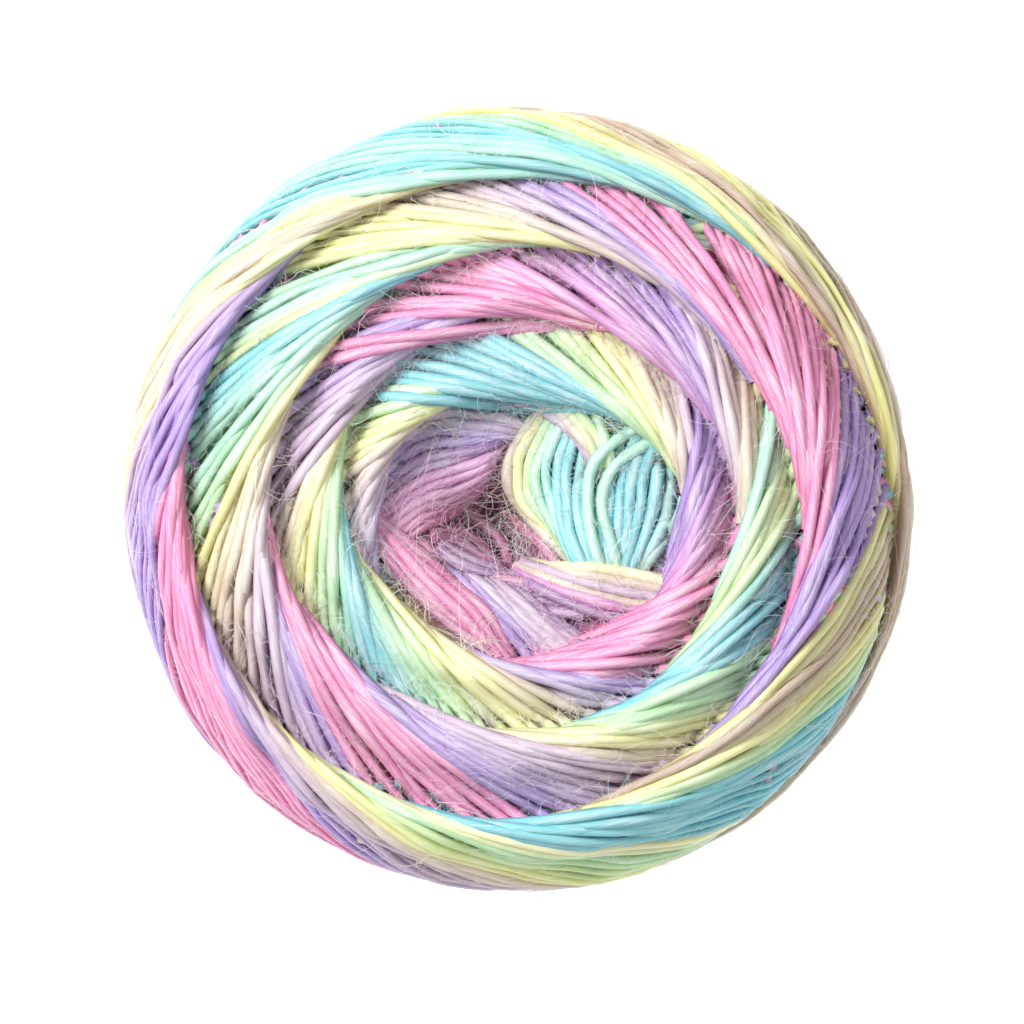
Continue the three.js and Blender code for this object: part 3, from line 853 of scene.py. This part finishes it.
def brushed_alpaca_yarn():
    made = bpy.data.materials.new("brushed_alpaca_yarn")
    made.use_nodes = True
    tree = made.node_tree
    tree.nodes.clear()
    tint = add_node(tree, "ShaderNodeAttribute", attribute_name="tint")
    rim = add_node(tree, "ShaderNodeAttribute", attribute_name="rim")
    along = add_node(tree, "ShaderNodeAttribute", attribute_name="along")
    turn = add_node(tree, "ShaderNodeMath", {0: along.outputs["Fac"], 1: 2 * math.pi / FIBRE_TURN},
                    operation="MULTIPLY")
    wound = add_node(tree, "ShaderNodeVectorRotate", {
        "Vector": rim.outputs["Vector"], "Angle": turn.outputs[0]}, rotation_type="Z_AXIS")
    length = add_node(tree, "ShaderNodeMath", {0: along.outputs["Fac"], 1: FIBRE_STRETCH},
                      operation="MULTIPLY")
    lengthwise = add_node(tree, "ShaderNodeCombineXYZ", {"Z": length.outputs[0]})
    place = add_node(tree, "ShaderNodeVectorMath", {
        0: wound.outputs["Vector"], 1: lengthwise.outputs["Vector"]}, operation="ADD")
    fibres = add_node(tree, "ShaderNodeTexNoise", {
        "Vector": place.outputs["Vector"], "Scale": FIBRE_SCALE, "Detail": 3.0, "Roughness": 0.6})
    here = add_node(tree, "ShaderNodeTexCoord")
    middle = add_node(tree, "ShaderNodeAttribute", attribute_name="middle")
    outward = add_node(tree, "ShaderNodeAttribute", attribute_name="outward")
    off_middle = add_node(tree, "ShaderNodeVectorMath", {
        0: here.outputs["Object"], 1: middle.outputs["Vector"]}, operation="SUBTRACT")
    rise = add_node(tree, "ShaderNodeVectorMath", {
        0: off_middle.outputs["Vector"], 1: outward.outputs["Vector"]}, operation="DOT_PRODUCT")
    loose = add_node(tree, "ShaderNodeMath", {0: fibres.outputs["Fac"], 1: 0.5}, operation="SUBTRACT")
    radius = STRAND_RADIUS * MM
    stray = add_node(tree, "ShaderNodeMath", {0: loose.outputs[0], 1: FIBRE_CONTRAST * radius},
                     operation="MULTIPLY")
    crown = add_node(tree, "ShaderNodeMath", {0: rise.outputs["Value"], 1: stray.outputs[0]},
                     operation="ADD")
    # Painted highlight: the crown of each strand is mixed towards near-white; the fibres make its edge
    # ragged.
    pale = add_node(tree, "ShaderNodeMapRange", {
        "Value": crown.outputs[0], "From Min": PAINTED_HIGHLIGHT_FROM * radius, "From Max": PAINTED_HIGHLIGHT_TO * radius,
        "To Min": 0.0, "To Max": PAINTED_HIGHLIGHT_MIX}, interpolation_type="SMOOTHSTEP")
    # Painted shade: down the sides of the strand, into the groove, the dye is darkened.
    painted_shade_mask = add_node(tree, "ShaderNodeMapRange", {
        "Value": crown.outputs[0], "From Min": PAINTED_SHADE_FROM * radius, "From Max": PAINTED_SHADE_TO * radius,
        "To Min": 0.0, "To Max": PAINTED_SHADE_MIX}, interpolation_type="SMOOTHSTEP")
    # Painted highlight: the dye mixed towards near-white over the crown.
    tint_with_painted_highlight = add_node(tree, "ShaderNodeMix", data_type="RGBA")
    tree.links.new(pale.outputs["Result"], tint_with_painted_highlight.inputs[0])
    tree.links.new(tint.outputs["Color"], tint_with_painted_highlight.inputs[6])
    tint_with_painted_highlight.inputs[7].default_value = (*linear_colour(PAINTED_HIGHLIGHT_COLOUR), 1)
    # Painted shade: the dye as it looks in a groove, and the mix that darkens the strand's sides towards
    # it.
    groove = add_node(tree, "ShaderNodeVectorMath", {
        0: tint.outputs["Color"], 1: PAINTED_GROOVE_SHADE}, operation="MULTIPLY")
    shade = add_node(tree, "ShaderNodeMix", data_type="RGBA", blend_type="MULTIPLY")
    tree.links.new(painted_shade_mask.outputs["Result"], shade.inputs[0])
    tree.links.new(tint_with_painted_highlight.outputs[2], shade.inputs[6])
    tree.links.new(groove.outputs["Vector"], shade.inputs[7])
    bump = add_node(tree, "ShaderNodeBump", {
        "Strength": 0.55, "Distance": 0.00022, "Height": fibres.outputs["Fac"]})
    surface = add_node(tree, "ShaderNodeBsdfPrincipled", {
        "Base Color": shade.outputs[2], "Roughness": 0.6, "Specular IOR Level": 0.45,
        "Sheen Weight": 0.25, "Sheen Roughness": 0.45, "Sheen Tint": (1, 1, 1, 1),
        "Normal": bump.outputs["Normal"]})
    add_node(tree, "ShaderNodeOutputMaterial", {"Surface": surface.outputs["BSDF"]})
    return made


yarn_material = brushed_alpaca_yarn()

# %% Sweep the strands in sight
STRAND_SIDES = 8
GIRTH_WAVES = (0.009, 0.017, 0.031)     # metres, the lengths over which a strand swells and thins
GIRTH_PLAY = 0.06
STRAND_OFFSET = 0.37               # metres of fibre pattern between one strand and the next
INNER_GIRTH = 1.06                 # strands on the ends aren't drawn as tight
POINT_STEP = 6                     # path steps between the points of a tube
SEAT = 0.45                        # the middle of a strand lies this far inside the form
FLOOR_GAP = 0.78                   # the lowest strands press flat on the table
GROUPS = {"yarn_inner_turns": (INMOST, 5), "yarn_third_turn": (5, 15), "yarn_second_turn": (15, 26),
          "yarn_outer_turn": (26, 31), "yarn_rim_turn": (31, 34), "yarn_last_turn": (34, len(BUNDLES))}


def strand_points(strand, start, end):
    """Points of one stretch in metres, with the outward direction at each and its length."""
    index = np.unique(np.append(np.arange(start, end - 1, POINT_STEP), end - 1))
    way, azimuth = strand["way"], strand["azimuth"]
    radius = np.interp(way, form_way, form_radius)
    along_meridian, around = lateral(way, azimuth, radius)
    way = way + strand["shift"] * along_meridian
    azimuth = azimuth + strand["shift"] * around / np.maximum(radius, 1.0)
    lift = strand_lift(way, azimuth, strand["middle"]) - SEAT
    points = on_form(way[index], azimuth[index], lift[index])
    outward = (on_form(way[index], azimuth[index], lift[index] + 1) - points) / MM
    points[:, 2] = np.maximum(points[:, 2], FLOOR_GAP * MM)
    return points, outward, index * PATH_STEP * MM


def girth_along(length, points, seed):
    wave = np.random.default_rng(seed)
    girth = narrowing(np.hypot(points[:, 0], points[:, 1]) / MM) * INNER_GIRTH
    for period in GIRTH_WAVES:
        swelling = wave.normal(0, GIRTH_PLAY)
        girth += swelling * np.sin(2 * np.pi * length / period + wave.uniform(0, 2 * np.pi))
    return girth


def polylines(name, chosen):
    points, outward, edges, along, girth, tint = [], [], [], [], [], []
    count = 0
    for number in chosen:
        strand = strands[number]
        radius = np.interp(strand["way"], form_way, form_radius)
        for start, end in stretches(in_sight(strand), radius):
            place, up, length = strand_points(strand, start, end)
            if len(place) < 2:
                continue
            size = len(place)
            points.append(place)
            outward.append(up)
            edges.append(np.stack([np.arange(size - 1), np.arange(1, size)], axis=1) + count)
            along.append(length + number * STRAND_OFFSET)
            girth.append(girth_along(length, place, number))
            tint.append(np.tile(np.append(strand["tint"], 1), (size, 1)))
            count += size
    mesh = bpy.data.meshes.new(name)
    mesh.from_pydata(np.concatenate(points), np.concatenate(edges), [])
    for label, kind, field, values in (
            ("along", "FLOAT", "value", along), ("girth", "FLOAT", "value", girth),
            ("tint", "FLOAT_COLOR", "color", tint), ("middle", "FLOAT_VECTOR", "vector", points),
            ("outward", "FLOAT_VECTOR", "vector", outward)):
        layer = mesh.attributes.new(label, kind, "POINT")
        layer.data.foreach_set(field, np.concatenate(values).astype(np.float32).ravel())
    return mesh


sweep = strand_tree()
yarn_pieces = []
for name, (first, last) in GROUPS.items():
    chosen = [i for i, s in enumerate(strands) if first <= s["row"] < last]
    yarn_pieces.append(run_tree(name, polylines(name, chosen), sweep, {
        "Strand radius": STRAND_RADIUS * MM, "Sides": STRAND_SIDES, "Material": yarn_material}))

# %% [markdown]
# ## Wraps below
# Between the strands in sight the ones below show as a darker ground. They are one surface just
# under the strands, with the dye of what lies on it, so that no gap looks into an empty ball. It is
# darker by painted shade: it has no strand middle, so the yarn material paints its groove shade over
# nearly all of it.

# %% Ground of deeper wraps
GROUND_RINGS = 110
GROUND_SECTORS = 200
GROUND_DEPTH = 2.0
GROUND_FLOOR = 0.9                 # mm, its lowest place over the table
BARE_DYE = "#B592A6"               # where no strand was laid
HAIRY_PIT, HAIRY_RIM = 1.3, 0.4    # share of the hairs on the top, near the axis and at the rim
HAIRY_FROM, HAIRY_TO = 20, 52
HAIRY_BELOW = 0.35                 # and below the belly
HAIRLESS_HEIGHT = 9.0              # mm above the table, below which hairs would be pressed flat


def ground_mesh():
    way = WHOLE_WAY * (np.arange(1, GROUND_RINGS) / GROUND_RINGS)
    azimuth = np.arange(GROUND_SECTORS) / GROUND_SECTORS * 2 * np.pi
    ring_way, ring_azimuth = np.meshgrid(way, azimuth, indexing="ij")
    ring_way = np.concatenate([[0.0], ring_way.ravel(), [WHOLE_WAY]])
    ring_azimuth = np.concatenate([[0.0], ring_azimuth.ravel(), [0.0]])
    top = ring_way <= BELLY_WAY
    lift = surface_lift(ring_way, ring_azimuth, low_heights) - GROUND_DEPTH
    points = on_form(ring_way, ring_azimuth, lift)
    points[:, 2] = np.maximum(points[:, 2], GROUND_FLOOR * MM)
    faces = []
    for j in range(GROUND_SECTORS):
        k = (j + 1) % GROUND_SECTORS
        faces.append((0, 1 + j, 1 + k))
        for i in range(GROUND_RINGS - 2):
            a = 1 + i * GROUND_SECTORS
            faces.append((a + j, a + GROUND_SECTORS + j, a + GROUND_SECTORS + k, a + k))
        last = 1 + (GROUND_RINGS - 2) * GROUND_SECTORS
        faces.append((last + j, len(points) - 1, last + k))
    mesh = bpy.data.meshes.new("wraps_below")
    mesh.from_pydata(points, [], faces)
    own_way = np.where(top, ring_way, WHOLE_WAY - ring_way)
    east = np.rint(own_way * np.cos(ring_azimuth) / CELL).astype(int)
    north = np.rint(own_way * np.sin(ring_azimuth) / CELL).astype(int)
    column = np.clip(east + MAP_REACH, 0, MAP_SIDE - 1)
    line = np.clip(north + MAP_REACH, 0, MAP_SIDE - 1)
    owner = np.where(top, owners[1][line, column], owners[-1][line, column])
    dyes = np.array([strand["tint"] for strand in strands] + [linear_colour(BARE_DYE)])
    colours = np.append(dyes[owner], np.ones((len(points), 1)), axis=1)
    reach = np.interp(ring_way, form_way, form_radius)
    thinning = (HAIRY_PIT - HAIRY_RIM) * smooth_step(HAIRY_FROM, HAIRY_TO, reach)
    hairy = np.where(top, HAIRY_PIT - thinning, HAIRY_BELOW)
    hairy = np.where(points[:, 2] < HAIRLESS_HEIGHT * MM, 0, hairy)
    layer = mesh.attributes.new("hairiness", "FLOAT", "POINT")
    layer.data.foreach_set("value", hairy.astype(np.float32))
    layer = mesh.attributes.new("tint", "FLOAT_COLOR", "POINT")
    layer.data.foreach_set("color", colours.astype(np.float32).ravel())
    mesh.polygons.foreach_set("use_smooth", [True] * len(mesh.polygons))
    # Painted shade: without strand middles the yarn material darkens this ground with its groove shade
    # almost everywhere.
    mesh.materials.append(yarn_material)
    return mesh


ground = bpy.data.objects.new("wraps_below", ground_mesh())
bpy.context.scene.collection.objects.link(ground)
yarn_pieces.append(ground)
print("ground faces", len(ground.data.polygons))

# %% [markdown]
# ## Hairs
# Brushed alpaca is covered in fine hairs that stand off the strands and catch the light. Each is a
# few hundredths of a millimetre thick. They are drawn about twice as thick here, because a thinner
# one would fall between the pixels. A handful of bent hairs is made once, and Geometry Nodes
# scatter copies of them over the ball, each turned and sized at random.

# %% Hair shapes
HAIR_RADIUS = 0.027                # mm, where the hair is thickest
HAIR_SIDES = 3
HAIR_COLOUR = "#F6F1F1"
CURL = 3                           # radians by which a hair of bend 1 turns along its length
WAVE = 1.6                         # and by which it sways on the way


def hair_mesh(name, length, steps, bend, rise, shaper):
    """One hair that leaves the surface, arcs over it and comes down again, in metres."""
    t = np.linspace(0, 1, steps + 1)
    curl = shaper.normal(0, CURL) * t
    heading = bend * (curl + shaper.normal(0, WAVE) * np.sin(5 * t + shaper.uniform(0, 6)))
    step = length / steps
    x = np.concatenate([[0], np.cumsum(np.cos(heading[:-1]) * step)])
    y = np.concatenate([[0], np.cumsum(np.sin(heading[:-1]) * step)])
    z = rise * np.sin(np.pi * t ** 0.8) * shaper.uniform(0.5, 1.2) + 0.15 * shaper.normal(0, 1) * t
    middle = np.stack([x, y, z], axis=1)
    girth = HAIR_RADIUS * (1 - 0.6 * t**2)
    points, faces = [], []
    for i in range(steps + 1):
        for k in range(HAIR_SIDES):
            turn = 2 * np.pi * k / HAIR_SIDES
            side = np.array([-np.sin(heading[i]), np.cos(heading[i]), 0]) * np.cos(turn)
            points.append(middle[i] + girth[i] * (side + np.array([0, 0, 1]) * np.sin(turn)))
    for i in range(steps):
        for k in range(HAIR_SIDES):
            a, b = i * HAIR_SIDES + k, i * HAIR_SIDES + (k + 1) % HAIR_SIDES
            faces.append((a, b, b + HAIR_SIDES, a + HAIR_SIDES))
    faces.append(tuple(range(HAIR_SIDES))[::-1])
    faces.append(tuple(range(steps * HAIR_SIDES, (steps + 1) * HAIR_SIDES)))
    mesh = bpy.data.meshes.new(name)
    mesh.from_pydata(np.array(points) * MM, [], faces)
    return mesh


def hair_collection(name, count, length, steps, bend, rise, seed):
    shaper = np.random.default_rng(seed)
    collection = bpy.data.collections.new(name)
    for i in range(count):
        mesh = hair_mesh(f"{name}_{i}", length * shaper.uniform(0.7, 1.3), steps, bend, rise, shaper)
        collection.objects.link(bpy.data.objects.new(mesh.name, mesh))
    return collection


# %% Hair material
def alpaca_hair():
    made = bpy.data.materials.new("alpaca_hair")
    made.use_nodes = True
    tree = made.node_tree
    tree.nodes.clear()
    dye = add_node(tree, "ShaderNodeAttribute", attribute_name="tint")
    pale = add_node(tree, "ShaderNodeMix", data_type="RGBA")
    pale.inputs[0].default_value = 0.5
    tree.links.new(dye.outputs["Color"], pale.inputs[6])
    pale.inputs[7].default_value = (*linear_colour(HAIR_COLOUR), 1)
    surface = add_node(tree, "ShaderNodeBsdfPrincipled", {
        "Base Color": pale.outputs[2], "Roughness": 0.5, "Specular IOR Level": 0.5})
    add_node(tree, "ShaderNodeOutputMaterial", {"Surface": surface.outputs["BSDF"]})
    return made


# %% Tree that scatters hairs
LARGEST_PICK = 1000                # far above the number of shapes, which the node counts round


def random_number(tree, low, high, seed):
    """Output of a node that gives each element its own number between two bounds."""
    node = add_node(tree, "FunctionNodeRandomValue", {"Seed": seed}, data_type="FLOAT")
    bounds = {"Min_001": low, "Max_001": high}
    for item in node.inputs:
        if item.identifier in bounds:
            item.default_value = bounds[item.identifier]
    return next(o for o in node.outputs if o.enabled)


def hair_tree():
    tree = new_tree("scatter_hairs", [
        ("Geometry", "Geometry"), ("Hairs", "Collection"), ("Per square metre", "Float"),
        ("Root height", "Float"), ("Seed", "Int"), ("Material", "Material")])
    given = add_node(tree, "NodeGroupInput")
    seed = given.outputs["Seed"]
    hairy = add_node(tree, "GeometryNodeInputNamedAttribute", {"Name": "hairiness"}, data_type="FLOAT")
    density = add_node(tree, "ShaderNodeMath", {
        0: given.outputs["Per square metre"], 1: hairy.outputs["Attribute"]}, operation="MULTIPLY")
    roots = add_node(tree, "GeometryNodeDistributePointsOnFaces", {
        "Mesh": given.outputs["Geometry"], "Density": density.outputs[0], "Seed": seed})
    off = add_node(tree, "ShaderNodeVectorMath", {
        0: roots.outputs["Normal"]}, operation="SCALE")
    tree.links.new(given.outputs["Root height"], off.inputs["Scale"])
    raised = add_node(tree, "GeometryNodeSetPosition", {
        "Geometry": roots.outputs["Points"], "Offset": off.outputs["Vector"]})
    shapes = add_node(tree, "GeometryNodeCollectionInfo", {
        "Collection": given.outputs["Hairs"], "Separate Children": True, "Reset Children": True})
    pick = add_node(tree, "FunctionNodeRandomValue", {"Seed": seed}, data_type="INT")
    spin = random_number(tree, 0.0, 2 * math.pi, seed)
    size = random_number(tree, 0.6, 1.3, seed)
    next(i for i in pick.inputs if i.identifier == "Max_002").default_value = LARGEST_PICK
    spun = add_node(tree, "FunctionNodeEulerToRotation")
    angles = add_node(tree, "ShaderNodeCombineXYZ", {"Z": spin})
    tree.links.new(angles.outputs["Vector"], spun.inputs[0])
    turned = add_node(tree, "FunctionNodeRotateRotation", {
        "Rotation": roots.outputs["Rotation"], "Rotate By": spun.outputs["Rotation"]},
        rotation_space="LOCAL")
    placed = add_node(tree, "GeometryNodeInstanceOnPoints", {
        "Points": raised.outputs["Geometry"], "Instance": shapes.outputs["Instances"],
        "Pick Instance": True, "Instance Index": next(o for o in pick.outputs if o.enabled),
        "Rotation": turned.outputs["Rotation"], "Scale": size})
    real = add_node(tree, "GeometryNodeRealizeInstances", {"Geometry": placed.outputs["Instances"]})
    dressed = add_node(tree, "GeometryNodeSetMaterial", {
        "Geometry": real.outputs["Geometry"], "Material": given.outputs["Material"]})
    add_node(tree, "NodeGroupOutput", {"Geometry": dressed.outputs["Geometry"]})
    return tree


# %% Scatter the hairs
LONG_HAIRS = {"count": 8, "length": 11.0, "steps": 8, "bend": 0.5, "rise": 1.0, "seed": 3}
SHORT_HAIRS = {"count": 8, "length": 4.2, "steps": 4, "bend": 0.45, "rise": 0.5, "seed": 4}
hair_material = alpaca_hair()
scatter = hair_tree()
for name, shape, per_square_mm, height, seed in (
        ("long_hairs", LONG_HAIRS, 0.21, 2.3, 11), ("short_hairs", SHORT_HAIRS, 0.44, 2.1, 12)):
    yarn_pieces.append(run_tree(name, ground.data.copy(), scatter, {
        "Hairs": hair_collection(name + "_shapes", **shape), "Per square metre": per_square_mm / MM**2,
        "Root height": height * MM, "Seed": seed, "Material": hair_material}))

# %% [markdown]
# ## Table and light
# A white table and a large soft light, as for a catalogue picture, so bright that the table is
# pure white and the shadows between the strands stay pale.

# %% White table
TABLE_GLOW = 0.62                  # the card is lit from below as well, so it stays pure white
TABLE_COLOUR = "#F3F3F3"
TABLE_HALF = 1.5


def white_table():
    made = bpy.data.materials.new("white_card")
    made.use_nodes = True
    surface = made.node_tree.nodes["Principled BSDF"]
    surface.inputs["Base Color"].default_value = (*linear_colour(TABLE_COLOUR), 1)
    surface.inputs["Roughness"].default_value = 0.9
    surface.inputs["Emission Color"].default_value = (1, 1, 1, 1)
    surface.inputs["Emission Strength"].default_value = TABLE_GLOW
    return made


table_mesh = bpy.data.meshes.new("table")
table_mesh.from_pydata([(-TABLE_HALF, -TABLE_HALF, 0), (TABLE_HALF, -TABLE_HALF, 0),
                        (TABLE_HALF, TABLE_HALF, 0), (-TABLE_HALF, TABLE_HALF, 0)], [], [(0, 1, 2, 3)])
table_mesh.materials.append(white_table())
table = bpy.data.objects.new("table", table_mesh)
bpy.context.scene.collection.objects.link(table)


# %% Soft light
SOFTBOXES = [
    # name, place and side in metres, power in watts
    ("softbox_left", (-0.7, 0.4, 0.8), 0.45, 15),
    ("softbox_right", (0.7, -0.1, 0.8), 0.6, 2.5),
]
ROOM_LIGHT = 0.42


def softbox(name, place, size, power):
    data = bpy.data.lights.new(name, "AREA")
    data.shape = "SQUARE"
    data.size = size
    data.energy = power
    lamp = bpy.data.objects.new(name, data)
    lamp.location = place
    lamp.rotation_euler = (-Vector(place)).to_track_quat("-Z", "Y").to_euler()
    bpy.context.scene.collection.objects.link(lamp)


for box in SOFTBOXES:
    softbox(*box)
world = bpy.data.worlds.new("studio")
world.use_nodes = True
world.node_tree.nodes["Background"].inputs["Color"].default_value = (1, 1, 1, 1)
world.node_tree.nodes["Background"].inputs["Strength"].default_value = ROOM_LIGHT
bpy.context.scene.world = world
bpy.context.scene.view_settings.view_transform = "Standard"
bpy.context.scene.view_settings.look = "None"

# %% [markdown]
# ## Pieces of one ball
# The real ball is one length of yarn, so every mesh here stands for the same solid of the CAD
# part. Each rides on its only body and takes the place of its one node.

# %% Hand the pieces to the frame
for piece in yarn_pieces:
    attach(piece, "root")
    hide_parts("wound_yarn")
